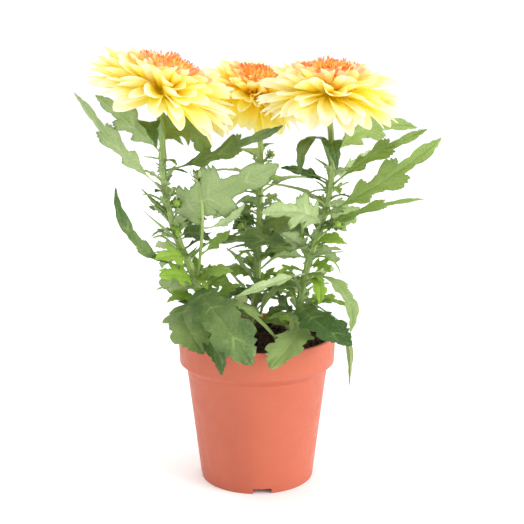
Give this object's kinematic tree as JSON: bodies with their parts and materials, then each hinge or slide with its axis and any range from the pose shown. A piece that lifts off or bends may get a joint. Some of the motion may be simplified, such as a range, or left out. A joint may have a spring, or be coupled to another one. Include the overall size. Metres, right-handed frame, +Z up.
{
  "type": "pot chrysanthemum",
  "caption": "Flowering chrysanthemum in a tapered nursery pot: leafy upright stems carry dense double blooms with a darker crown.",
  "frame": {"origin": "middle of the pot's foot, on the surface it stands on, under the middle of the plant", "axes": "+Z up the plant, +X to the right and -Y to the front, where the front foot notch and the two large blooms face"},
  "size_m": [0.2521, 0.1794, 0.322],
  "materials": {
    "terracotta_plastic": "satin",
    "potting_soil": "matte",
    "leaf_green": "matte",
    "petal_yellow": "matte",
    "floret_red": "matte"
  },
  "bodies": {
    "root": {"pot": "terracotta_plastic", "soil": "potting_soil", "stem_left": "leaf_green", "stem_right": "leaf_green", "stem_centre": "leaf_green", "bloom_left": "petal_yellow", "bloom_right": "petal_yellow", "bloom_centre": "petal_yellow", "crown_left": "floret_red", "crown_right": "floret_red", "crown_centre": "floret_red"}
  },
  "joints": []
}
